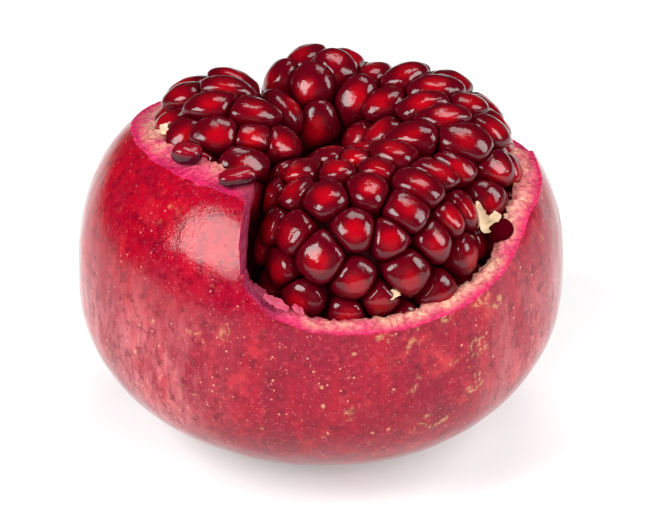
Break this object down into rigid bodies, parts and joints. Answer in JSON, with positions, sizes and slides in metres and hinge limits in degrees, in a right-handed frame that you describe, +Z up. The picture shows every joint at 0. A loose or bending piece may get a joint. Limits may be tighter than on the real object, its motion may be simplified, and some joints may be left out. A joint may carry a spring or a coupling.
{
  "type": "open pomegranate",
  "caption": "Pomegranate with its crown cut off and the rind notched down at the front, its packed arils standing up out of the leathery rind.",
  "frame": {"origin": "centre of the flat stem end that the fruit rests on", "axes": "+Z up along the fruit's axis, the low notch in the rind faces -Y, the high part of the rind is on the -X side"},
  "size_m": [0.101, 0.101, 0.0748],
  "materials": {
    "rind_skin": "semi-gloss speckled fruit skin",
    "aril_flesh": "wet glossy translucent flesh",
    "membrane": "matte pith",
    "rind_shred": "torn moist skin"
  },
  "bodies": {
    "root": {"rind": "rind_skin", "arils_left": "aril_flesh", "arils_back": "aril_flesh", "arils_back_right": "aril_flesh", "arils_right": "aril_flesh", "arils_front": "aril_flesh", "loose_aril_rear": "aril_flesh", "loose_aril_front": "aril_flesh", "membrane_right": "membrane", "membrane_front": "membrane", "membrane_left": "membrane", "rind_shred_long": "rind_shred", "rind_shred_short": "rind_shred"}
  },
  "joints": []
}
